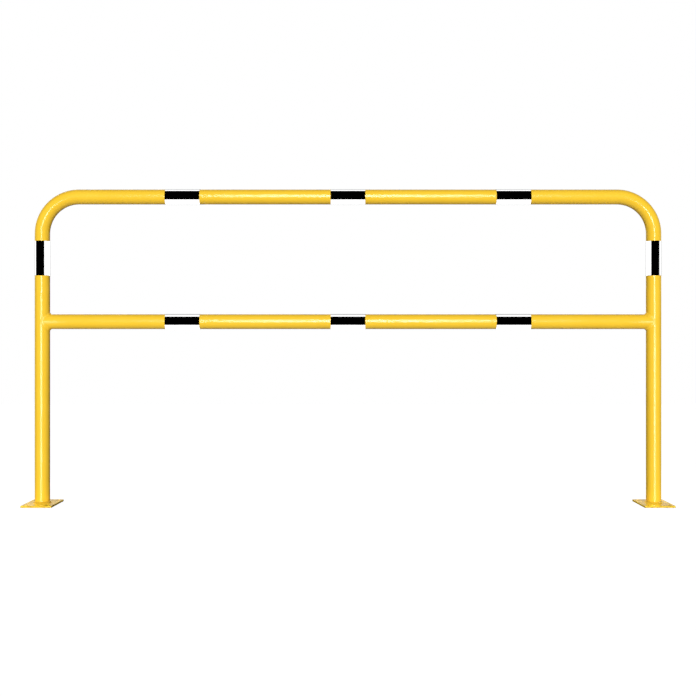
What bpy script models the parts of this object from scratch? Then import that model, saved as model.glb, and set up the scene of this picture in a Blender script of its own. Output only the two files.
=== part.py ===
"""Steel hoop guard rail with a mid rail, welded to two floor plates and ringed with warning bands.

Metres, +Z up. The origin is on the floor, midway between the legs. The rails run along X, and the front of
the guard faces -Y.
"""

import math

import bmesh
import bpy
from mathutils import Matrix, Vector

# Round tube of the hoop and of the mid rail
TUBE_DIAMETER = 0.0483
TUBE_WALL = 0.0025

# Hoop, measured on the axis of its tube
LEG_SPACING = 2.0
HOOP_HEIGHT = 1.0
BEND_RADIUS = 0.12
MID_RAIL_DROP = 0.408

# Floor plate under each leg
PLATE_WIDTH = 0.1
PLATE_DEPTH = 0.15
PLATE_THICKNESS = 0.006
PLATE_CORNER_RADIUS = 0.004
PLATE_EDGE_BREAK = 0.0006
BOLT_HOLE_DIAMETER = 0.014
BOLT_HOLE_EDGE_DISTANCE = 0.016

# Weld beads
WELD_LEG = 0.005
WELD_CROWN = 0.0014

# Warning bands of adhesive film, wrapped once round the tube and lapped over their own start
BAND_LENGTH = 0.113
BAND_PITCH = 0.54
BAND_BELOW_BEND = 0.025
FILM_THICKNESS = 0.0003
FILM_LAP = 0.012
LAP_CLIMB = 0.003
LAP_CUT_EDGE = 0.0005

# Room between one piece and the piece that it is welded to or laid on
SEAT_GAP = 0.0003

# Fineness of the facets
TUBE_SIDES = 40
BEND_STEPS = 12
SADDLE_STATIONS = 48
HOLE_SIDES = 24
CORNER_STEPS = 4
CROWN_SHARES = (0.25, 0.5, 0.75)
SMOOTH_ANGLE = math.radians(35)

TUBE_RADIUS = TUBE_DIAMETER / 2
SEAT_RADIUS = TUBE_RADIUS + SEAT_GAP
LEG_X = LEG_SPACING / 2
LEG_FOOT_Z = PLATE_THICKNESS + SEAT_GAP
TOP_RAIL_Z = PLATE_THICKNESS + HOOP_HEIGHT
MID_RAIL_Z = TOP_RAIL_Z - MID_RAIL_DROP
BEND_CENTRE_X = LEG_X - BEND_RADIUS
BEND_CENTRE_Z = TOP_RAIL_Z - BEND_RADIUS
LEG_BAND_Z = BEND_CENTRE_Z - BAND_BELOW_BEND - BAND_LENGTH / 2

YELLOW = (0.93, 0.6, 0.03)
BLACK = (0.004, 0.004, 0.004)
SIDES = (("left", -1), ("right", 1))
RAIL_PLACES = (("left", -1), ("centre", 0), ("right", 1))
RIGHT_ANGLE = math.radians(90)
ALONG_X = (0, RIGHT_ANGLE, 0)
FACING_BACK = RIGHT_ANGLE


def new_material(name, colour, roughness, metallic=0.0):
    """A plain Principled material."""
    material = bpy.data.materials.new(name)
    material.use_nodes = True
    shader = material.node_tree.nodes["Principled BSDF"]
    shader.inputs["Base Color"].default_value = (*colour, 1)
    shader.inputs["Roughness"].default_value = roughness
    shader.inputs["Metallic"].default_value = metallic
    material.diffuse_color = (*colour, 1)
    return material


def mesh_from(name, bm):
    """Closes a bmesh into a mesh with its faces pointing out, smooth round its curves."""
    bmesh.ops.recalc_face_normals(bm, faces=bm.faces)
    mesh = bpy.data.meshes.new(name)
    bm.to_mesh(mesh)
    bm.free()
    mesh.shade_smooth()
    mesh.set_sharp_from_angle(angle=SMOOTH_ANGLE)
    return mesh


def place(name, mesh, material, parent, location=(0, 0, 0), rotation=(0, 0, 0)):
    """One named piece of the guard, carried by the parent."""
    piece = bpy.data.objects.new(name, mesh)
    bpy.context.scene.collection.objects.link(piece)
    piece.parent = parent
    piece.location = location
    piece.rotation_euler = rotation
    if not mesh.materials:
        mesh.materials.append(material)
    return piece


def skin(bm, ring, following):
    """Closes the strip between two closed rings of as many points each."""
    for k in range(len(ring)):
        after = (k + 1) % len(ring)
        bm.faces.new((ring[k], ring[after], following[after], following[k]))


def ring_of_sections(name, sections):
    """A ring-shaped solid: every closed section is joined to the next, and the last to the first."""
    bm = bmesh.new()
    loops = [[bm.verts.new(point) for point in section] for section in sections]
    for loop, following in zip(loops, loops[1:] + loops[:1]):
        skin(bm, loop, following)
    return mesh_from(name, bm)


def round_section(radius):
    """A circle of points about the local Z axis."""
    turns = [math.tau * k / TUBE_SIDES for k in range(TUBE_SIDES)]
    return [Vector((radius * math.cos(t), radius * math.sin(t), 0)) for t in turns]


def tube_mesh(name, stations):
    """A tube whose section stands at each station in turn, with its wall closed at both mouths."""
    bm = bmesh.new()
    walls = []
    for radius in (TUBE_RADIUS, TUBE_RADIUS - TUBE_WALL):
        section = round_section(radius)
        rings = [[bm.verts.new(station @ point) for point in section] for station in stations]
        for ring, following in zip(rings, rings[1:]):
            skin(bm, ring, following)
        walls.append(rings)
    outer, inner = walls
    for mouth in (0, -1):
        skin(bm, outer[mouth], inner[mouth])
    return mesh_from(name, bm)


def bend_stations(centre_x, first_turn):
    """Stations round one right-angle bend, the tube's axis starting first_turn from upright."""
    centre = Matrix.Translation((centre_x, 0, BEND_CENTRE_Z))
    arm = Matrix.Translation((-BEND_RADIUS, 0, 0))
    turns = [first_turn + RIGHT_ANGLE * k / BEND_STEPS for k in range(BEND_STEPS + 1)]
    return [centre @ Matrix.Rotation(turn, 4, "Y") @ arm for turn in turns]


def hoop_mesh():
    """The bent tube: leg, bend, top rail, bend and leg, open at both feet."""
    left_foot = Matrix.Translation((-LEG_X, 0, LEG_FOOT_Z))
    right_foot = Matrix.Translation((LEG_X, 0, LEG_FOOT_Z)) @ Matrix.Rotation(math.pi, 4, "Y")
    left_bend = bend_stations(-BEND_CENTRE_X, 0)
    right_bend = bend_stations(BEND_CENTRE_X, RIGHT_ANGLE)
    return tube_mesh("hoop_tube", [left_foot, *left_bend, *right_bend, right_foot])


def rail_blank_mesh():
    """The mid rail before coping: a plain tube from one leg's axis to the other's."""
    return tube_mesh("mid_rail", [Matrix.Translation((0, 0, end)) for end in (-LEG_X, LEG_X)])


def coping_tool_mesh():
    """An upright cylinder that is a leg with its seat gap, to cope the mid rail's ends."""
    bm = bmesh.new()
    bmesh.ops.create_cone(
        bm,
        cap_ends=True,
        segments=TUBE_SIDES,
        radius1=SEAT_RADIUS,
        radius2=SEAT_RADIUS,
        depth=2 * TUBE_DIAMETER,
    )
    return mesh_from("coping_tool", bm)


def cope(rail, tool, side_name):
    """Cuts a saddle into the rail where it meets the leg."""
    tool.hide_render = True
    tool.display_type = "WIRE"
    cut = rail.modifiers.new(f"saddle_{side_name}", "BOOLEAN")
    cut.operation = "DIFFERENCE"
    cut.object = tool


def rounded_rectangle(shrink):
    """The floor plate's outline, drawn in by shrink."""
    radius = PLATE_CORNER_RADIUS - shrink
    reach_x = PLATE_WIDTH / 2 - PLATE_CORNER_RADIUS
    reach_y = PLATE_DEPTH / 2 - PLATE_CORNER_RADIUS
    points = []
    for quarter, (side_x, side_y) in enumerate(((1, 1), (-1, 1), (-1, -1), (1, -1))):
        for step in range(CORNER_STEPS + 1):
            angle = RIGHT_ANGLE * (quarter + step / CORNER_STEPS)
            x = side_x * reach_x + radius * math.cos(angle)
            y = side_y * reach_y + radius * math.sin(angle)
            points.append((x, y))
    return points


def bolt_hole(side_x, side_y, grow):
    """The outline of one bolt hole, widened by grow."""
    radius = BOLT_HOLE_DIAMETER / 2 + grow
    centre_x = side_x * (PLATE_WIDTH / 2 - BOLT_HOLE_EDGE_DISTANCE)
    centre_y = side_y * (PLATE_DEPTH / 2 - BOLT_HOLE_EDGE_DISTANCE)
    turns = [math.tau * k / HOLE_SIDES for k in range(HOLE_SIDES)]
    return [(centre_x + radius * math.cos(t), centre_y + radius * math.sin(t)) for t in turns]


def plate_outlines(edge_break):
    """The plate's outer outline and its four holes, each set back from the metal by edge_break."""
    holes = [bolt_hole(x, y, edge_break) for x in (-1, 1) for y in (-1, 1)]
    return [rounded_rectangle(edge_break)] + holes


def plate_mesh():
    """The floor plate, with four bolt holes and every edge broken."""
    bm = bmesh.new()
    levels = (
        (0, PLATE_EDGE_BREAK),
        (PLATE_EDGE_BREAK, 0),
        (PLATE_THICKNESS - PLATE_EDGE_BREAK, 0),
        (PLATE_THICKNESS, PLATE_EDGE_BREAK),
    )
    layers = []
    for height, set_back in levels:
        outlines = plate_outlines(set_back)
        layers.append([[bm.verts.new((x, y, height)) for x, y in outline] for outline in outlines])
    for lower, upper in zip(layers, layers[1:]):
        for ring, ring_above in zip(lower, upper):
            skin(bm, ring, ring_above)
    for layer in (layers[0], layers[-1]):
        rim = [bm.edges.get(ends) for ring in layer for ends in zip(ring, ring[1:] + ring[:1])]
        bmesh.ops.triangle_fill(bm, edges=rim, use_beauty=True, normal=(0, 0, 1))
    return mesh_from("base_plate", bm)


def bead_section(root, toe_a, toe_b, outward):
    """A fillet weld's section: from one toe over the crown to the other toe, and back by the root."""
    crown = []
    for share in CROWN_SHARES:
        bulge = 4 * share * (1 - share) * WELD_CROWN
        crown.append(toe_a.lerp(toe_b, share) + outward * bulge)
    return [toe_a, *crown, toe_b, root]


def base_weld_mesh():
    """The fillet weld round a leg's foot. Its origin is on the leg's axis, at the floor."""
    seat_z = PLATE_THICKNESS + SEAT_GAP
    section = bead_section(
        root=Vector((SEAT_RADIUS, 0, seat_z)),
        toe_a=Vector((SEAT_RADIUS, 0, seat_z + WELD_LEG)),
        toe_b=Vector((SEAT_RADIUS + WELD_LEG, 0, seat_z)),
        outward=Vector((1, 0, 1)).normalized(),
    )
    turns = [Matrix.Rotation(math.tau * k / TUBE_SIDES, 3, "Z") for k in range(TUBE_SIDES)]
    return ring_of_sections("base_weld", [[turn @ point for point in section] for turn in turns])


def saddle_point(turn):
    """Where the rail's seat meets the leg's seat, turn radians round the rail from +Y."""
    y = SEAT_RADIUS * math.cos(turn)
    z = SEAT_RADIUS * math.sin(turn)
    return Vector((math.sqrt(max(0, SEAT_RADIUS**2 - y**2)), y, z))


def along_leg(start, heading, distance):
    """The point reached on the leg's seat by going a distance from start, bending with its round face."""
    around = Vector((-start.y, start.x, 0)).normalized()
    turned = Matrix.Rotation(heading.dot(around) * distance / SEAT_RADIUS, 3, "Z") @ start
    return turned + Vector((0, 0, heading.z * distance))


def rail_weld_mesh():
    """The fillet weld that follows the saddle. Its origin is where the axes of leg and rail cross."""
    sections = []
    step = math.tau / SADDLE_STATIONS
    for k in range(SADDLE_STATIONS):
        turn = k * step
        root = saddle_point(turn)
        tangent = saddle_point(turn + step / 2) - saddle_point(turn - step / 2)
        off_leg = Vector((root.x, root.y, 0)).normalized()
        off_rail = Vector((0, root.y, root.z)).normalized()
        away_from_rail = tangent.cross(off_leg).normalized()
        section = bead_section(
            root=root,
            toe_a=root + Vector((WELD_LEG, 0, 0)),
            toe_b=along_leg(root, away_from_rail, WELD_LEG),
            outward=(off_leg + off_rail).normalized(),
        )
        sections.append(section)
    return ring_of_sections("rail_weld", sections)


def band_outline():
    """(turn, height of film) round a band: one layer all round, and two where the film laps itself."""
    half_lap = FILM_LAP / 2 / SEAT_RADIUS
    start = FACING_BACK - half_lap
    end = FACING_BACK + half_lap
    lap = [
        (start - LAP_CLIMB / SEAT_RADIUS, FILM_THICKNESS),
        (start, 2 * FILM_THICKNESS),
        (end, 2 * FILM_THICKNESS),
        (end + LAP_CUT_EDGE / SEAT_RADIUS, FILM_THICKNESS),
    ]
    turns = [math.tau * k / TUBE_SIDES for k in range(TUBE_SIDES)]
    over = [(turn, 2 * FILM_THICKNESS) for turn in turns if start < turn < end]
    plain = [(turn, FILM_THICKNESS) for turn in turns if not lap[0][0] <= turn <= lap[-1][0]]
    return sorted(lap + over + plain)


def band_mesh():
    """A warning band, centred on the origin with the tube's axis along Z and its lap at +Y."""
    sections = []
    for turn, film in band_outline():
        out = Vector((math.cos(turn), math.sin(turn), 0))
        end = Vector((0, 0, BAND_LENGTH / 2))
        inner = out * SEAT_RADIUS
        outer = out * (SEAT_RADIUS + film)
        sections.append([inner - end, outer - end, outer + end, inner + end])
    return ring_of_sections("warning_band", sections)


def clear_scene():
    """Removes what the scene holds."""
    for old in list(bpy.data.objects):
        bpy.data.objects.remove(old)


def build():
    """Makes the guard rail."""
    clear_scene()
    tube_coat = new_material("tube_powder_coat", YELLOW, 0.32)
    plate_coat = new_material("plate_powder_coat", YELLOW, 0.38)
    weld_coat = new_material("weld_powder_coat", YELLOW, 0.42)
    film = new_material("band_film", BLACK, 0.12)
    guard = bpy.data.objects.new("guard_rail", None)
    bpy.context.scene.collection.objects.link(guard)

    place("hoop_tube", hoop_mesh(), tube_coat, guard)
    mid_rail = place("mid_rail", rail_blank_mesh(), tube_coat, guard, (0, 0, MID_RAIL_Z), ALONG_X)
    tool_mesh = coping_tool_mesh()
    plate = plate_mesh()
    base_weld = base_weld_mesh()
    rail_weld = rail_weld_mesh()
    band = band_mesh()
    for side, sign in SIDES:
        x = sign * LEG_X
        tool = place(f"coping_tool_{side}", tool_mesh, tube_coat, guard, (x, 0, MID_RAIL_Z))
        cope(mid_rail, tool, side)
        place(f"base_plate_{side}", plate, plate_coat, guard, (x, 0, 0))
        place(f"base_weld_{side}", base_weld, weld_coat, guard, (x, 0, 0))
        towards_rail = (0, 0, 0 if sign < 0 else math.pi)
        place(f"rail_weld_{side}", rail_weld, weld_coat, guard, (x, 0, MID_RAIL_Z), towards_rail)
        place(f"leg_band_{side}", band, film, guard, (x, 0, LEG_BAND_Z))
    for spot, step in RAIL_PLACES:
        x = step * BAND_PITCH
        place(f"top_band_{spot}", band, film, guard, (x, 0, TOP_RAIL_Z), ALONG_X)
        place(f"mid_band_{spot}", band, film, guard, (x, 0, MID_RAIL_Z), ALONG_X)


build()
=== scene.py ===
import math

import bmesh
import bpy
from mathutils import Matrix, Vector


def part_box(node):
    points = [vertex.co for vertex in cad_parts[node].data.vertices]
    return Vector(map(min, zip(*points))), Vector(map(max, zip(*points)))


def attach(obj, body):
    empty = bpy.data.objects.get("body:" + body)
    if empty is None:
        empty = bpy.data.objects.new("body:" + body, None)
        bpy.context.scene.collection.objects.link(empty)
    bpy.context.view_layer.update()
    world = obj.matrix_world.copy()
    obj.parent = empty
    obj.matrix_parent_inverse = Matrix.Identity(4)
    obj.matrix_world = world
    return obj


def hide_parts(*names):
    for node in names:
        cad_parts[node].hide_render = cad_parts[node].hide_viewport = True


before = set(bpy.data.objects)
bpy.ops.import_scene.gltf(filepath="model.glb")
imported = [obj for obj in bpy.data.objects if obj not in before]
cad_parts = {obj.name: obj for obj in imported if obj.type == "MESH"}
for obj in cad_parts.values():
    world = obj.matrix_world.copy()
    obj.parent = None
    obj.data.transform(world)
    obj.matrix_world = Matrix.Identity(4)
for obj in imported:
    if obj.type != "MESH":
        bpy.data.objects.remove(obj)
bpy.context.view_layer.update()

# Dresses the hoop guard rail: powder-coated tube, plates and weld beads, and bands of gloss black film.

RIGHT_ANGLE = math.radians(90)
WHITE = (1, 1, 1, 1)

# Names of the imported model
BODY = "root"
SIDES = (("left", -1), ("right", 1))
SPOTS = ("left", "centre", "right")
BANDS_ON_LEGS = [f"leg_band_{side}" for side, _ in SIDES]
BANDS_ON_RAILS = [f"{rail}_band_{spot}" for rail in ("top", "mid") for spot in SPOTS]

# Sizes of the guard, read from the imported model
hoop_low, hoop_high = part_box("hoop_tube")
band_low, band_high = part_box("leg_band_left")
rail_low, rail_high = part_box("mid_rail")
plate_low, plate_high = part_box("base_plate_right")
TUBE_RADIUS = (hoop_high.y - hoop_low.y) / 2
LEG_X = hoop_high.x - TUBE_RADIUS
LEG_FOOT_Z = hoop_low.z
TOP_RAIL_Z = hoop_high.z - TUBE_RADIUS
MID_RAIL_Z = (rail_low.z + rail_high.z) / 2
PLATE_WIDTH = plate_high.x - plate_low.x
PLATE_DEPTH = plate_high.y - plate_low.y
PLATE_THICKNESS = plate_high.z - plate_low.z
BAND_LENGTH = band_high.z - band_low.z

# Sizes that a box can't give, as the steelwork has them
TUBE_WALL = 0.0025
BEND_RADIUS = 0.12
BEND_OVALITY = 0.012
PLATE_CORNER_RADIUS = 0.004
PLATE_EDGE_ROUND = 0.0006
PLATE_FLAT_INSET = 0.0004
BOLT_HOLE_DIAMETER = 0.014
BOLT_HOLE_EDGE_DISTANCE = 0.016

# How far beads and film reach into the steel under them, so that no gap shows
SEAT_SINK = 0.0001

# Weld beads, laid as overlapping ripples
WELD_LEG = 0.005
WELD_CROWN = 0.0007
RIPPLE_PITCH = 0.0024
RIPPLE_HEIGHT = 0.00022
RIPPLE_BOW = 0.9

# Film bands, each lapping itself at the back of its tube
FILM_THICKNESS = 0.0003
FILM_SEAT_GAP = (band_high.x - band_low.x) / 2 - TUBE_RADIUS - FILM_THICKNESS
FILM_EDGE_ROUND = 0.00012
FILM_FLAT_INSET = 0.0003
HALF_LAP = 0.012 / 2
LAP_CLIMB = 0.003
LAP_CUT_EDGE = 0.0003
FRONT = -1
BACK = 1

# Fineness of the meshes
TUBE_SIDES = 128
BEND_STEPS = 64
HOLE_SIDES = 64
CORNER_STEPS = 12
ROUND_STEPS = 4
CROWN_STEPS = 10
STATIONS_PER_RIPPLE = 8
SADDLE_MEASURING_STEPS = 720
SADDLE_TANGENT_REACH = math.radians(6)
SMOOTH_ANGLE = math.radians(40)

# Finishes: each colour drifts from its pale to its deep shade
TUBE_YELLOW = ((0.965, 0.61, 0.042), (0.95, 0.59, 0.036))
PLATE_YELLOW = ((0.965, 0.635, 0.042), (0.95, 0.61, 0.036))
FILM_BLACK = ((0.0022, 0.0022, 0.0024), (0.0016, 0.0016, 0.0018))
RESIN_IOR = 1.5
NOISE_LOW = 0.3
NOISE_HIGH = 0.7

# The photograph: its camera looks level along +Y, straight at the middle of the guard
PHOTO_WIDTH_PX = 696
PHOTO_FOCAL_PX = 1044
PHOTO_LEG_SPACING_PX = 611.1
PHOTO_HORIZON_PX = 348
PHOTO_FLOOR_UNDER_LEGS_PX = 504.4
SENSOR_WIDTH = 36

# What each light gives a white surface that faces it: 1 is white
KEY_LEVEL = 0.61
FILL_LEVEL = 0.63
BACK_LEVEL = 0.9
SIDE_LEVEL = 0.65
PLATE_LEVEL = 0.38
ROOM_LEVEL = 0.015

# Where the soft boxes stand, and half the angles that they fill, as seen from the guard
KEY_ELEVATION = math.radians(10)
PLATE_KEY_ELEVATION = math.radians(11)
FILL_ELEVATION = math.radians(5)
BACK_TURN = math.radians(-160)
BACK_ELEVATION = math.radians(22)
OVERHEAD_ELEVATION = math.radians(80)
SIDE_TURN = math.radians(130)
SIDE_ELEVATION = 0.1
BOX_HALF_WIDTH = math.radians(8.5)
KEY_HALF_HEIGHT = math.radians(19)
FILL_HALF_HEIGHT = math.radians(20)
TALL_HALF_HEIGHT = math.radians(25)
SIDE_HALF_HEIGHT = math.radians(30)
FAR_AWAY = 40.0
SIDE_DISTANCE = 0.9

# The streak boxes at the legs
STREAK_GLOW = 9.0
STREAK_SPREAD = math.radians(66)
STREAK_BOX_WIDTH = 0.075
STREAK_BOX_OUTSIDE = 0.118
STREAK_BOX_DISTANCE = 0.5
STREAK_BOX_TOP = 0.68
STREAK_BOX_BOTTOM = -0.35

# Glow cards. Each runs back from front to back along Y, and its glow is its strength at the front.
# A level card lies at its height; an upright one stands at its x.
CARD_STEPS = 10
CARD_MARGIN = 0.03
LEVEL_CARDS = (
    {"place": "over", "rail": "top", "height": 3.0, "front": 0.3, "back": 3.3, "glow": 19.0},
    {"place": "over", "rail": "mid", "height": 0.93, "front": -0.056, "back": 0.53, "glow": 27.0},
    {"place": "under", "rail": "top", "height": 0.72, "front": -0.287, "back": 1.07, "glow": 36.0},
    {"place": "under", "rail": "mid", "height": 0.02, "front": -0.46, "back": 2.2, "glow": 34.0},
)
UPRIGHT_CARDS = (
    {"place": "outside", "side": "left", "x": -LEG_X - 3.0, "front": 0.2, "back": 5.0, "glow": 17.0},
    {"place": "outside", "side": "right", "x": LEG_X + 3.0, "front": -0.65, "back": 5.0, "glow": 20.0},
    {"place": "inside", "side": "left", "x": 0.7 - LEG_X, "front": -0.75, "back": 4.0, "glow": 33.0},
    {"place": "inside", "side": "right", "x": LEG_X - 0.7, "front": -0.575, "back": 4.0, "glow": 33.0},
)

# The room that gloss mirrors: where its far side begins, and how bright that is at each rise
FAR_SIDE_NEARER_BELOW = 0.65
FAR_SIDE_START = 0.08
FAR_SIDE_FULL = 0.6
FAR_SIDE_LEVELS = (
    (-0.98, 0.3),
    (-0.3, 0.2),
    (-0.15, 0.02),
    (0.05, 0.02),
    (0.12, 0.5),
    (0.4, 0.3),
    (0.98, 0.3),
)

FLOOR_REACH = 6.0
FLOOR_COLOUR = 0.2
FLOOR_WHITE = 0.93


# Meshes

def mesh_from(name, bm):
    """Ends a bmesh as a mesh with its faces pointing out, smooth round its curves."""
    bmesh.ops.recalc_face_normals(bm, faces=bm.faces)
    mesh = bpy.data.meshes.new(name)
    bm.to_mesh(mesh)
    bm.free()
    mesh.shade_smooth()
    mesh.set_sharp_from_angle(angle=SMOOTH_ANGLE)
    return mesh


def skin(bm, ring, following):
    """Closes the strip between two closed rings of as many points each."""
    for k in range(len(ring)):
        after = (k + 1) % len(ring)
        bm.faces.new((ring[k], ring[after], following[after], following[k]))


def ring_of_sections(name, sections):
    """A ring-shaped solid: every closed section is joined to the next, and the last to the first."""
    bm = bmesh.new()
    loops = [[bm.verts.new(point) for point in section] for section in sections]
    for loop, following in zip(loops, loops[1:] + loops[:1]):
        skin(bm, loop, following)
    return mesh_from(name, bm)


def turns_round(count):
    """Evenly spaced turns of one full circle."""
    return [math.tau * k / count for k in range(count)]


# Tubes

def tube_mesh(name, stations, cut):
    """A tube through its stations, (placement, squeeze towards the bend's centre), closed at its mouths.

    The cut moves a station's points to where the tube is cut.
    """
    bm = bmesh.new()
    walls = []
    for radius in (TUBE_RADIUS, TUBE_RADIUS - TUBE_WALL):
        rings = []
        for number, (placement, squeeze) in enumerate(stations):
            ring = []
            for turn in turns_round(TUBE_SIDES):
                x = radius * math.cos(turn) * (1 - squeeze)
                y = radius * math.sin(turn)
                point = placement @ Vector((x, y, 0))
                ring.append(bm.verts.new(cut(number, point)))
            rings.append(ring)
        for ring, following in zip(rings, rings[1:]):
            skin(bm, ring, following)
        walls.append(rings)
    outer, inner = walls
    for mouth in (0, -1):
        skin(bm, outer[mouth], inner[mouth])
    return mesh_from(name, bm)


def square_cut(number, point):
    """Leaves a tube's ends cut square."""
    return point


def coped_cut(number, point):
    """Brings the mid rail's two stations, on the legs' axes, out to the legs' round faces."""
    reach = math.sqrt(max(0, TUBE_RADIUS**2 - point.y**2))
    inward = 1 if number == 0 else -1
    return point + Vector((inward * reach, 0, 0))


def bend_stations(centre_x, first_turn):
    """Stations round one bend, where the section is squeezed a little, as bent tube is."""
    centre = Matrix.Translation((centre_x, 0, TOP_RAIL_Z - BEND_RADIUS))
    arm = Matrix.Translation((-BEND_RADIUS, 0, 0))
    stations = []
    for k in range(BEND_STEPS + 1):
        share = k / BEND_STEPS
        turn = first_turn + RIGHT_ANGLE * share
        squeeze = BEND_OVALITY * math.sin(math.pi * share) ** 2
        stations.append((centre @ Matrix.Rotation(turn, 4, "Y") @ arm, squeeze))
    return stations


def hoop_mesh():
    """The bent tube: leg, bend, top rail, bend and leg."""
    left_foot = Matrix.Translation((-LEG_X, 0, LEG_FOOT_Z))
    right_foot = Matrix.Translation((LEG_X, 0, LEG_FOOT_Z)) @ Matrix.Rotation(math.pi, 4, "Y")
    left_bend = bend_stations(BEND_RADIUS - LEG_X, 0)
    right_bend = bend_stations(LEG_X - BEND_RADIUS, RIGHT_ANGLE)
    stations = [(left_foot, 0), *left_bend, *right_bend, (right_foot, 0)]
    return tube_mesh("hoop", stations, square_cut)


def mid_rail_mesh():
    """The mid rail, with each end coped to the leg's round."""
    lying = Matrix.Rotation(RIGHT_ANGLE, 4, "Y")
    stations = [(Matrix.Translation((sign * LEG_X, 0, MID_RAIL_Z)) @ lying, 0) for _, sign in SIDES]
    return tube_mesh("rail", stations, coped_cut)


# Floor plates

def rounded_rectangle(set_back):
    """The floor plate's outline, drawn in by set_back."""
    radius = PLATE_CORNER_RADIUS - set_back
    reach_x = PLATE_WIDTH / 2 - PLATE_CORNER_RADIUS
    reach_y = PLATE_DEPTH / 2 - PLATE_CORNER_RADIUS
    points = []
    for quarter, (side_x, side_y) in enumerate(((1, 1), (-1, 1), (-1, -1), (1, -1))):
        for step in range(CORNER_STEPS + 1):
            angle = RIGHT_ANGLE * (quarter + step / CORNER_STEPS)
            x = side_x * reach_x + radius * math.cos(angle)
            y = side_y * reach_y + radius * math.sin(angle)
            points.append((x, y))
    return points


def bolt_hole(side_x, side_y, set_back):
    """The outline of one bolt hole, widened by set_back."""
    radius = BOLT_HOLE_DIAMETER / 2 + set_back
    centre_x = side_x * (PLATE_WIDTH / 2 - BOLT_HOLE_EDGE_DISTANCE)
    centre_y = side_y * (PLATE_DEPTH / 2 - BOLT_HOLE_EDGE_DISTANCE)
    points = []
    for turn in turns_round(HOLE_SIDES):
        points.append((centre_x + radius * math.cos(turn), centre_y + radius * math.sin(turn)))
    return points


def rounded_levels():
    """(height, set-back) up the plate's side, with the coat rounding both edges.

    A level beside each round keeps the flat faces flat where shading is smooth.
    """
    lower = [(0, PLATE_EDGE_ROUND + PLATE_FLAT_INSET)]
    for k in range(ROUND_STEPS + 1):
        turn = RIGHT_ANGLE * k / ROUND_STEPS
        lower.append((PLATE_EDGE_ROUND * (1 - math.cos(turn)), PLATE_EDGE_ROUND * (1 - math.sin(turn))))
    lower.append((PLATE_EDGE_ROUND + PLATE_FLAT_INSET, 0))
    upper = [(PLATE_THICKNESS - height, set_back) for height, set_back in reversed(lower)]
    return lower + upper


def plate_mesh():
    """The floor plate with its four bolt holes."""
    bm = bmesh.new()
    layers = []
    for height, set_back in rounded_levels():
        holes = [bolt_hole(x, y, set_back) for x in (-1, 1) for y in (-1, 1)]
        outlines = [rounded_rectangle(set_back), *holes]
        layers.append([[bm.verts.new((x, y, height)) for x, y in outline] for outline in outlines])
    for lower, upper in zip(layers, layers[1:]):
        for ring, ring_above in zip(lower, upper):
            skin(bm, ring, ring_above)
    for layer in (layers[0], layers[-1]):
        rim = [bm.edges.get(ends) for ring in layer for ends in zip(ring, ring[1:] + ring[:1])]
        bmesh.ops.triangle_fill(bm, edges=rim, use_beauty=True, normal=(0, 0, 1))
    return mesh_from("plate", bm)


# Weld beads

def bead_section(root, toe_a, toe_b, outward, run):
    """A bead's section, run metres along the seam: toe, rippled crown, toe and root."""
    points = [toe_a]
    for k in range(1, CROWN_STEPS):
        share = k / CROWN_STEPS
        arch = 4 * share * (1 - share)
        phase = run / RIPPLE_PITCH + RIPPLE_BOW * arch
        ripple = RIPPLE_HEIGHT * arch * (phase % 1.0) ** 2
        points.append(toe_a.lerp(toe_b, share) + outward * (arch * WELD_CROWN - ripple))
    return [*points, toe_b, root]


def ripples_along(length):
    """How many stations a closed seam of that length takes, and the length of its whole ripples."""
    ripples = round(length / RIPPLE_PITCH)
    return ripples * STATIONS_PER_RIPPLE, ripples * RIPPLE_PITCH


def base_weld_mesh():
    """The bead round a leg's foot. Its origin is on the leg's axis, at the floor."""
    inner = TUBE_RADIUS - SEAT_SINK
    bottom = PLATE_THICKNESS - SEAT_SINK
    count, seam = ripples_along(math.tau * (TUBE_RADIUS + WELD_LEG / 2))
    sections = []
    for k, turn in enumerate(turns_round(count)):
        section = bead_section(
            root=Vector((inner, 0, bottom)),
            toe_a=Vector((inner, 0, bottom + WELD_LEG)),
            toe_b=Vector((inner + WELD_LEG, 0, bottom)),
            outward=Vector((1, 0, 1)).normalized(),
            run=seam * k / count,
        )
        sections.append([Matrix.Rotation(turn, 3, "Z") @ point for point in section])
    return ring_of_sections("base_weld", sections)


def saddle_point(turn, seat):
    """Where rail and leg meet on their seats, turn radians round the rail from +Y."""
    y = seat * math.cos(turn)
    z = seat * math.sin(turn)
    return Vector((math.sqrt(max(0, seat**2 - y**2)), y, z))


def along_leg(start, heading, distance, seat):
    """The point reached on the leg's seat by going a distance from start, bending with its round face."""
    around = Vector((-start.y, start.x, 0)).normalized()
    turned = Matrix.Rotation(heading.dot(around) * distance / seat, 3, "Z") @ start
    return turned + Vector((0, 0, heading.z * distance))


def rail_weld_mesh():
    """The bead that follows the saddle. Its origin is where the axes of leg and rail cross."""
    seat = TUBE_RADIUS - SEAT_SINK
    coarse = [saddle_point(turn, seat) for turn in turns_round(SADDLE_MEASURING_STEPS)]
    length = sum((b - a).length for a, b in zip(coarse, coarse[1:] + coarse[:1]))
    count, seam = ripples_along(length)
    run = 0
    before = saddle_point(0, seat)
    sections = []
    for turn in turns_round(count):
        root = saddle_point(turn, seat)
        run += (root - before).length
        before = root
        ahead = saddle_point(turn + SADDLE_TANGENT_REACH, seat)
        behind = saddle_point(turn - SADDLE_TANGENT_REACH, seat)
        off_leg = Vector((root.x, root.y, 0)).normalized()
        off_rail = Vector((0, root.y, root.z)).normalized()
        away_from_rail = (ahead - behind).cross(off_leg).normalized()
        section = bead_section(
            root=root,
            toe_a=root + Vector((WELD_LEG, 0, 0)),
            toe_b=along_leg(root, away_from_rail, WELD_LEG, seat),
            outward=(off_leg + off_rail).normalized(),
            run=run * seam / length,
        )
        sections.append(section)
    return ring_of_sections("rail_weld", sections)


# Film bands

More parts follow.
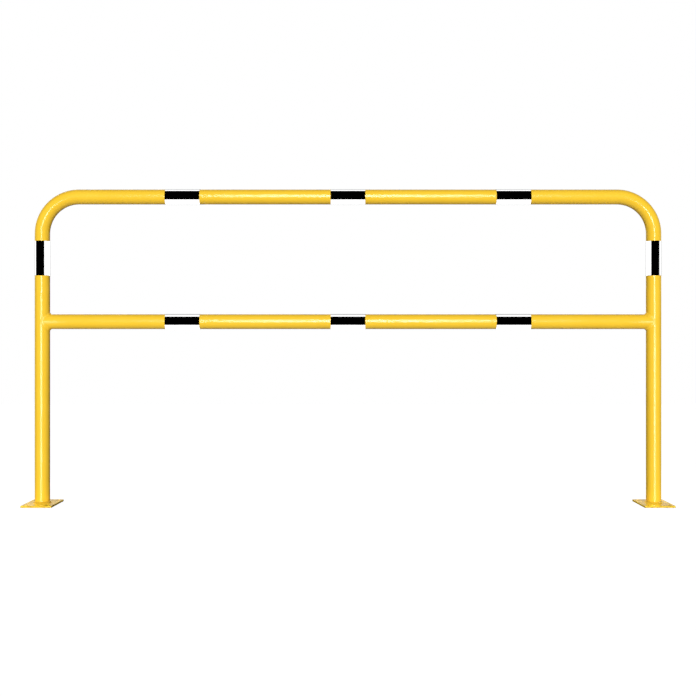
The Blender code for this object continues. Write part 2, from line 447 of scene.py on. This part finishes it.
def film_height(turn):
    """The film's thickness at a turn: two layers where it laps itself at the back."""
    along = (turn - RIGHT_ANGLE) * TUBE_RADIUS
    if along < -HALF_LAP - LAP_CLIMB or along > HALF_LAP + LAP_CUT_EDGE:
        return FILM_THICKNESS
    if along < -HALF_LAP:
        return FILM_THICKNESS * (1 + (along + HALF_LAP + LAP_CLIMB) / LAP_CLIMB)
    if along > HALF_LAP:
        return FILM_THICKNESS * (2 - (along - HALF_LAP) / LAP_CUT_EDGE)
    return 2 * FILM_THICKNESS


def half_turns(half):
    """Turns over the front or back half of a band, with extra ones where the lap starts and ends."""
    steps = TUBE_SIDES // 2
    even = [math.pi * k / steps for k in range(steps + 1)]
    if half == FRONT:
        return [math.pi + turn for turn in even]
    marks = (
        -HALF_LAP - LAP_CLIMB,
        -HALF_LAP - LAP_CLIMB / 2,
        -HALF_LAP,
        HALF_LAP,
        HALF_LAP + LAP_CUT_EDGE,
    )
    extra = [RIGHT_ANGLE + mark / TUBE_RADIUS for mark in marks]
    least_step = math.pi / TUBE_SIDES / 2
    kept = [turn for turn in even if all(abs(turn - other) > least_step for other in extra)]
    return sorted(kept + extra)


def film_section(turn):
    """The film's section at a turn: its face on the tube, and its outer face with softened edges."""
    out = Vector((math.cos(turn), math.sin(turn), 0))
    up = Vector((0, 0, 1))
    inner = TUBE_RADIUS - SEAT_SINK
    face = TUBE_RADIUS + FILM_SEAT_GAP + film_height(turn) - FILM_EDGE_ROUND
    edge = BAND_LENGTH / 2 - FILM_EDGE_ROUND
    profile = []
    for k in range(ROUND_STEPS + 1):
        angle = RIGHT_ANGLE * k / ROUND_STEPS
        radius = face + FILM_EDGE_ROUND * math.sin(angle)
        height = edge + FILM_EDGE_ROUND * math.cos(angle)
        profile.append((radius, height))
    profile.append((face + FILM_EDGE_ROUND, edge - FILM_FLAT_INSET))
    lower = [out * radius - up * height for radius, height in profile]
    upper = [out * radius + up * height for radius, height in profile]
    foot = out * inner - up * BAND_LENGTH / 2
    head = out * inner + up * BAND_LENGTH / 2
    return [foot, *lower, *reversed(upper), head]


def half_band_mesh(half):
    """Half of a film band, centred on the origin: the tube's axis is along Z and the lap at +Y."""
    bm = bmesh.new()
    loops = [[bm.verts.new(point) for point in film_section(turn)] for turn in half_turns(half)]
    for loop, following in zip(loops, loops[1:]):
        skin(bm, loop, following)
    for end in (0, -1):
        bm.faces.new(loops[end])
    return mesh_from("half_band", bm)


# Materials

def add_node(tree, kind, inputs=None, **settings):
    """A shader node with its settings made, and its sockets set or fed."""
    made = tree.nodes.new(kind)
    for name, value in settings.items():
        setattr(made, name, value)
    for socket, value in (inputs or {}).items():
        if isinstance(value, bpy.types.NodeSocket):
            tree.links.new(value, made.inputs[socket])
        else:
            made.inputs[socket].default_value = value
    return made


def new_group(name, inputs, outputs):
    """An empty shader node group with float inputs and outputs, and its two end nodes."""
    group = bpy.data.node_groups.new(name, "ShaderNodeTree")
    for socket, value in inputs.items():
        made = group.interface.new_socket(socket, in_out="INPUT", socket_type="NodeSocketFloat")
        made.default_value = value
    for socket in outputs:
        group.interface.new_socket(socket, in_out="OUTPUT", socket_type="NodeSocketFloat")
    return group, add_node(group, "NodeGroupInput"), add_node(group, "NodeGroupOutput")


def make_coat_skin():
    """Group: how a cured coat lies. Height is its orange peel, Flow its slow drift, Haze its gloss."""
    inputs = {"Peel per metre": 420.0, "Flow per metre": 9.0, "Haze per metre": 60.0}
    group, given, out = new_group("coat_skin", inputs, ("Height", "Flow", "Haze"))
    place = add_node(group, "ShaderNodeTexCoord").outputs["Object"]
    noises = (
        ("Height", "Peel per metre", 1.5, 0.45),
        ("Flow", "Flow per metre", 2.0, 0.5),
        ("Haze", "Haze per metre", 3.0, 0.6),
    )
    for output, scale, detail, roughness in noises:
        noise = add_node(
            group,
            "ShaderNodeTexNoise",
            {"Vector": place, "Scale": given.outputs[scale], "Detail": detail, "Roughness": roughness},
        )
        group.links.new(noise.outputs["Fac"], out.inputs[output])
    return group


def spread(tree, noise, low, high):
    """Maps the noise to a range."""
    return add_node(
        tree,
        "ShaderNodeMapRange",
        {"Value": noise, "From Min": NOISE_LOW, "From Max": NOISE_HIGH, "To Min": low, "To Max": high},
    ).outputs["Result"]


def surface(name, coat_skin, shades, roughness, peel_depth, peel_per_metre):
    """A coated or filmed surface: its colour drifts between two shades, and its gloss has orange peel."""
    material = bpy.data.materials.new(name)
    material.use_nodes = True
    tree = material.node_tree
    coat = add_node(
        tree,
        "ShaderNodeGroup",
        {"Peel per metre": peel_per_metre},
        node_tree=coat_skin,
    ).outputs
    pale, deep = shades
    colour = add_node(
        tree,
        "ShaderNodeMix",
        {"Factor": spread(tree, coat["Flow"], 0, 1), "A": (*pale, 1), "B": (*deep, 1)},
        data_type="RGBA",
    )
    bump = add_node(
        tree,
        "ShaderNodeBump",
        {"Height": coat["Height"], "Distance": peel_depth, "Strength": 1.0},
    )
    shader = tree.nodes["Principled BSDF"]
    shader.inputs["IOR"].default_value = RESIN_IOR
    tree.links.new(colour.outputs["Result"], shader.inputs["Base Color"])
    tree.links.new(spread(tree, coat["Haze"], *roughness), shader.inputs["Roughness"])
    tree.links.new(bump.outputs["Normal"], shader.inputs["Normal"])
    return material


def make_finishes():
    """The finishes by the record's slot names."""
    coat_skin = make_coat_skin()
    return {
        "tube_coat": surface(
            "tube_powder_coat",
            coat_skin,
            TUBE_YELLOW,
            roughness=(0.16, 0.19),
            peel_depth=0.000002,
            peel_per_metre=420.0,
        ),
        "plate_coat": surface(
            "plate_powder_coat",
            coat_skin,
            PLATE_YELLOW,
            roughness=(0.09, 0.13),
            peel_depth=0.00001,
            peel_per_metre=380.0,
        ),
        "weld_coat": surface(
            "weld_powder_coat",
            coat_skin,
            TUBE_YELLOW,
            roughness=(0.2, 0.28),
            peel_depth=0.00001,
            peel_per_metre=520.0,
        ),
        "band_film": surface(
            "band_film_black",
            coat_skin,
            FILM_BLACK,
            roughness=(0.05, 0.08),
            peel_depth=0.000001,
            peel_per_metre=260.0,
        ),
    }


# Pieces

def add_object(name, data):
    """An object in the scene."""
    made = bpy.data.objects.new(name, data)
    bpy.context.scene.collection.objects.link(made)
    return made


def add_piece(name, mesh, node, slot, finishes, location=(0, 0, 0), rotation=(0, 0, 0)):
    """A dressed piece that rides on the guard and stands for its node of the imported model."""
    if not mesh.materials:
        mesh.materials.append(finishes[slot])
    piece = add_object(name, mesh)
    piece.location = location
    piece.rotation_euler = rotation
    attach(piece, BODY)
    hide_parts(node)
    return piece


def add_steelwork(finishes):
    """Hoop, mid rail, plates and weld beads. Returns the plates."""
    add_piece("hoop", hoop_mesh(), "hoop_tube", "tube_coat", finishes)
    add_piece("rail", mid_rail_mesh(), "mid_rail", "tube_coat", finishes)
    plate = plate_mesh()
    foot_bead = base_weld_mesh()
    saddle_bead = rail_weld_mesh()
    plates = []
    for side, sign in SIDES:
        foot = (sign * LEG_X, 0, 0)
        joint = (sign * LEG_X, 0, MID_RAIL_Z)
        towards_rail = (0, 0, 0 if sign < 0 else math.pi)
        standing = add_piece(f"plate_{side}", plate, f"base_plate_{side}", "plate_coat", finishes, foot)
        plates.append(standing)
        add_piece(f"foot_bead_{side}", foot_bead, f"base_weld_{side}", "weld_coat", finishes, foot)
        add_piece(
            f"saddle_bead_{side}",
            saddle_bead,
            f"rail_weld_{side}",
            "weld_coat",
            finishes,
            joint,
            towards_rail,
        )
    return plates


def add_bands(finishes):
    """The film bands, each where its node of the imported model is, in a front half and a back half.

    Returns the front halves by node and the back halves in a list.
    """
    front_film = half_band_mesh(FRONT)
    back_film = half_band_mesh(BACK)
    fronts = {}
    backs = []
    for node in BANDS_ON_LEGS + BANDS_ON_RAILS:
        low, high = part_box(node)
        spot = Vector(((low.x + high.x) / 2, 0, (low.z + high.z) / 2))
        lying = (0, 0 if node in BANDS_ON_LEGS else RIGHT_ANGLE, 0)
        fronts[node] = add_piece(f"{node}_front", front_film, node, "band_film", finishes, spot, lying)
        backs.append(add_piece(f"{node}_back", back_film, node, "band_film", finishes, spot, lying))
    return fronts, backs


# Studio

def add_camera():
    """The photograph's camera: level, square on, with the horizon at mid height."""
    metres_per_px = 2 * LEG_X / PHOTO_LEG_SPACING_PX
    data = bpy.data.cameras.new("photo_camera")
    data.sensor_width = SENSOR_WIDTH
    data.lens = SENSOR_WIDTH * PHOTO_FOCAL_PX / PHOTO_WIDTH_PX
    camera = add_object("photo_camera", data)
    height = (PHOTO_FLOOR_UNDER_LEGS_PX - PHOTO_HORIZON_PX) * metres_per_px
    camera.location = (0, -PHOTO_FOCAL_PX * metres_per_px, height)
    camera.rotation_euler = (RIGHT_ANGLE, 0, 0)
    bpy.context.scene.camera = camera


def linked_to(name, objects, state):
    """A collection that says which objects a light reaches, or with EXCLUDE which it leaves out."""
    chosen = bpy.data.collections.new(name)
    for thing in objects:
        chosen.objects.link(thing)
    for entry in chosen.collection_objects:
        entry.light_linking.link_state = state
    return chosen


def rectangle_light(name, width, height):
    """A rectangular lamp that faces down."""
    data = bpy.data.lights.new(name, "AREA")
    data.shape = "RECTANGLE"
    data.size = width
    data.size_y = height
    return add_object(name, data)


def add_soft_box(name, level, turn, elevation, half_wide, half_tall, distance=FAR_AWAY, x=0.0):
    """A soft box turned about a point x along the guard: turn 0 is in front and half a turn behind.

    Its half angles are as seen from that point, and its level is what it gives there.
    """
    box = rectangle_light(name, 2 * distance * math.tan(half_wide), 2 * distance * math.tan(half_tall))
    box.data.energy = level * math.pi**2 * distance**2
    about = Matrix.Translation((x, 0, TOP_RAIL_Z / 2))
    aim = Matrix.Rotation(turn, 4, "Z") @ Matrix.Rotation(RIGHT_ANGLE - elevation, 4, "X")
    box.matrix_world = about @ aim @ Matrix.Translation((0, 0, distance))
    return box


def add_streak_box(side, sign):
    """A low narrow box, seen only in gloss, that widens the streak of light on a leg.

    It stands in front and outside of the leg. Its beam is level, so that the top rail doesn't mirror it.
    """
    box = rectangle_light(f"streak_light_{side}", STREAK_BOX_WIDTH, STREAK_BOX_TOP - STREAK_BOX_BOTTOM)
    box.data.spread = STREAK_SPREAD
    # A narrow beam crowds the lamp's power, so less of it gives the same glow
    half_spread = STREAK_SPREAD / 2
    crowding = 1 - half_spread / math.tan(half_spread)
    box.data.energy = STREAK_GLOW * math.pi * box.data.size * box.data.size_y * crowding
    middle = (STREAK_BOX_TOP + STREAK_BOX_BOTTOM) / 2
    box.location = (sign * (LEG_X + STREAK_BOX_OUTSIDE), -STREAK_BOX_DISTANCE, middle)
    box.rotation_euler = (RIGHT_ANGLE, 0, 0)
    box.visible_diffuse = False
    return box


def add_lights(films, plates, floor):
    """The lights: none reaches the film, and the floor stops none of those that light the tube.

    The tube has a key, which its gloss mirrors, a fill, a light behind and one beside each leg, and the
    streak boxes. The plates have a key of their own instead, which their gloss doesn't mirror, and a light
    over them.
    """
    wide = BOX_HALF_WIDTH
    key = add_soft_box("key_light", KEY_LEVEL, 0, KEY_ELEVATION, wide, KEY_HALF_HEIGHT)
    plate_key = add_soft_box("plate_key_light", KEY_LEVEL, 0, PLATE_KEY_ELEVATION, wide, TALL_HALF_HEIGHT)
    fill = add_soft_box("fill_light", FILL_LEVEL, 0, FILL_ELEVATION, wide, FILL_HALF_HEIGHT)
    back = add_soft_box("back_light", BACK_LEVEL, BACK_TURN, BACK_ELEVATION, wide, TALL_HALF_HEIGHT)
    overhead = add_soft_box("plate_light", PLATE_LEVEL, 0, OVERHEAD_ELEVATION, wide, wide)
    matt_only = [fill, back]
    for side, sign in SIDES:
        beside = add_soft_box(
            f"side_light_{side}",
            SIDE_LEVEL,
            sign * SIDE_TURN,
            SIDE_ELEVATION,
            wide,
            SIDE_HALF_HEIGHT,
            SIDE_DISTANCE,
            sign * LEG_X,
        )
        matt_only.append(beside)
    streaks = [add_streak_box(side, sign) for side, sign in SIDES]
    for box in (*matt_only, plate_key, overhead):
        box.visible_glossy = False
    for box in (key, *streaks, *matt_only):
        left_out = films if box in matt_only else [*films, *plates]
        passed = [floor, *plates] if box in streaks else [floor]
        box.light_linking.receiver_collection = linked_to(f"{box.name}_leaves_out", left_out, "EXCLUDE")
        box.light_linking.blocker_collection = linked_to(f"{box.name}_passes", passed, "EXCLUDE")
    for box in (plate_key, overhead):
        box.light_linking.receiver_collection = linked_to(f"{box.name}_reaches", plates, "INCLUDE")


def blank_material(name):
    """A material whose node tree is empty."""
    material = bpy.data.materials.new(name)
    material.use_nodes = True
    material.node_tree.nodes.clear()
    return material


def card_finish(name, front, back, glow):
    """A clear glow, bright at the card's front and fading to nothing at its back."""
    material = blank_material(name)
    tree = material.node_tree
    place = add_node(tree, "ShaderNodeTexCoord").outputs["Object"]
    depth = add_node(tree, "ShaderNodeSeparateXYZ", {"Vector": place}).outputs["Y"]
    fade = add_node(
        tree,
        "ShaderNodeMapRange",
        {"Value": depth, "From Min": front, "From Max": back, "To Min": 1.0, "To Max": 0.0},
    ).outputs["Result"]
    squared = add_node(tree, "ShaderNodeMath", {0: fade, 1: 2.0}, operation="POWER").outputs["Value"]
    strength = add_node(tree, "ShaderNodeMath", {0: squared, 1: glow}, operation="MULTIPLY")
    shine = add_node(tree, "ShaderNodeEmission", {"Strength": strength.outputs["Value"]}).outputs["Emission"]
    clear = add_node(tree, "ShaderNodeBsdfTransparent").outputs["BSDF"]
    both = add_node(tree, "ShaderNodeAddShader", {0: shine, 1: clear}).outputs["Shader"]
    add_node(tree, "ShaderNodeOutputMaterial", {"Surface": both})
    return material


def card_mesh(name, film, along, start, end):
    """A card from start to end, just wide enough to fill the camera's view in the film's gloss."""
    camera = bpy.context.scene.camera.location
    across = Vector((1, 1, 1)) - along
    camera_off = ((camera - film.location) * across).length
    points = []
    for k in range(CARD_STEPS + 1):
        point = start.lerp(end, k / CARD_STEPS) * across
        off = (point - film.location * across).length
        middle = (film.location + (film.location - camera) * (off / camera_off)) @ along
        half = BAND_LENGTH / 2 * (1 + off / camera_off) + CARD_MARGIN * (1 + off)
        points += [point + along * (middle - half), point + along * (middle + half)]
    mesh = bpy.data.meshes.new(name)
    strips = [(k, k + 1, k + 3, k + 2) for k in range(0, 2 * CARD_STEPS, 2)]
    mesh.from_pydata(points, [], strips)
    return mesh


def add_card(name, film, along, start, end, finish):
    """A card whose glow only the gloss of its film sees."""
    mesh = card_mesh(name, film, along, start, end)
    mesh.materials.append(finish)
    card = add_object(name, mesh)
    card.visible_camera = False
    card.visible_diffuse = False
    card.visible_shadow = False
    card.light_linking.receiver_collection = linked_to(f"{name}_reaches", [film], "INCLUDE")


def add_glow_cards(films):
    """Cards that edge the black film with white for the photograph's camera, as its studio did."""
    along_rail = Vector((1, 0, 0))
    along_leg_axis = Vector((0, 0, 1))
    for card in LEVEL_CARDS:
        name = f"glow_{card['place']}_{card['rail']}"
        finish = card_finish(name, card["front"], card["back"], card["glow"])
        start = Vector((0, card["front"], card["height"]))
        end = Vector((0, card["back"], card["height"]))
        for spot in SPOTS:
            film = films[f"{card['rail']}_band_{spot}"]
            add_card(f"{name}_{spot}", film, along_rail, start, end, finish)
    for card in UPRIGHT_CARDS:
        name = f"glow_{card['place']}_{card['side']}"
        finish = card_finish(name, card["front"], card["back"], card["glow"])
        start = Vector((card["x"], card["front"], 0))
        end = Vector((card["x"], card["back"], 0))
        add_card(name, films[f"leg_band_{card['side']}"], along_leg_axis, start, end, finish)


def add_world():
    """White to the camera, an even dim room to matt surfaces, and a room dark in front to gloss."""
    world = bpy.data.worlds.new("studio")
    bpy.context.scene.world = world
    world.use_nodes = True
    tree = world.node_tree
    tree.nodes.clear()
    sees = add_node(tree, "ShaderNodeLightPath").outputs
    heading = add_node(tree, "ShaderNodeTexCoord").outputs["Generated"]
    axes = add_node(tree, "ShaderNodeSeparateXYZ", {"Vector": heading}).outputs
    below = add_node(tree, "ShaderNodeMath", {0: axes["Z"], 1: 0.0}, operation="MINIMUM").outputs["Value"]
    behind = add_node(
        tree,
        "ShaderNodeMath",
        {0: below, 1: -FAR_SIDE_NEARER_BELOW, 2: axes["Y"]},
        operation="MULTIPLY_ADD",
    ).outputs["Value"]
    reach = {"From Min": FAR_SIDE_START, "From Max": FAR_SIDE_FULL, "To Min": 0.0, "To Max": 1.0}
    far_side = add_node(
        tree,
        "ShaderNodeMapRange",
        {"Value": behind, **reach},
        interpolation_type="SMOOTHSTEP",
    ).outputs["Result"]
    height = add_node(
        tree,
        "ShaderNodeMath",
        {0: axes["Z"], 1: 0.5, 2: 0.5},
        operation="MULTIPLY_ADD",
    ).outputs["Value"]
    by_height = add_node(tree, "ShaderNodeValToRGB", {"Fac": height})
    stops = by_height.color_ramp.elements
    for rise, level in FAR_SIDE_LEVELS:
        stops.new((rise + 1) / 2).color = (level, level, level, 1)
    stops.remove(stops[0])
    stops.remove(stops[-1])
    mirrored = add_node(
        tree,
        "ShaderNodeMath",
        {0: far_side, 1: by_height.outputs["Color"]},
        operation="MULTIPLY",
    ).outputs["Value"]
    soft = add_node(tree, "ShaderNodeBackground", {"Color": WHITE, "Strength": ROOM_LEVEL})
    gloss = add_node(tree, "ShaderNodeBackground", {"Color": WHITE, "Strength": mirrored})
    white = add_node(tree, "ShaderNodeBackground", {"Color": WHITE, "Strength": 1.0})
    unseen = add_node(
        tree,
        "ShaderNodeMixShader",
        {0: sees["Is Glossy Ray"], 1: soft.outputs["Background"], 2: gloss.outputs["Background"]},
    )
    choice = add_node(
        tree,
        "ShaderNodeMixShader",
        {0: sees["Is Camera Ray"], 1: unseen.outputs["Shader"], 2: white.outputs["Background"]},
    )
    add_node(tree, "ShaderNodeOutputWorld", {"Surface": choice.outputs["Shader"]})


def add_floor():
    """A pale floor, white to the camera but for the guard's faint shadow."""
    mesh = bpy.data.meshes.new("floor")
    corners = [(x * FLOOR_REACH, y * FLOOR_REACH, 0) for x, y in ((-1, -1), (1, -1), (1, 1), (-1, 1))]
    mesh.from_pydata(corners, [], [(0, 1, 2, 3)])
    material = blank_material("pale_floor")
    tree = material.node_tree
    sees = add_node(tree, "ShaderNodeLightPath").outputs
    grey = (FLOOR_COLOUR, FLOOR_COLOUR, FLOOR_COLOUR, 1)
    matt = add_node(tree, "ShaderNodeBsdfDiffuse", {"Color": grey}).outputs["BSDF"]
    white = add_node(tree, "ShaderNodeEmission", {"Color": WHITE, "Strength": FLOOR_WHITE})
    both = add_node(tree, "ShaderNodeAddShader", {0: matt, 1: white.outputs["Emission"]}).outputs["Shader"]
    choice = add_node(tree, "ShaderNodeMixShader", {0: sees["Is Camera Ray"], 1: matt, 2: both})
    add_node(tree, "ShaderNodeOutputMaterial", {"Surface": choice.outputs["Shader"]})
    mesh.materials.append(material)
    floor = add_object("floor", mesh)
    floor.visible_glossy = False
    return floor


bpy.context.scene.view_settings.view_transform = "Standard"
add_camera()
finishes = make_finishes()
plates = add_steelwork(finishes)
front_films, back_films = add_bands(finishes)
floor = add_floor()
add_lights([*front_films.values(), *back_films], plates, floor)
add_glow_cards(front_films)
add_world()
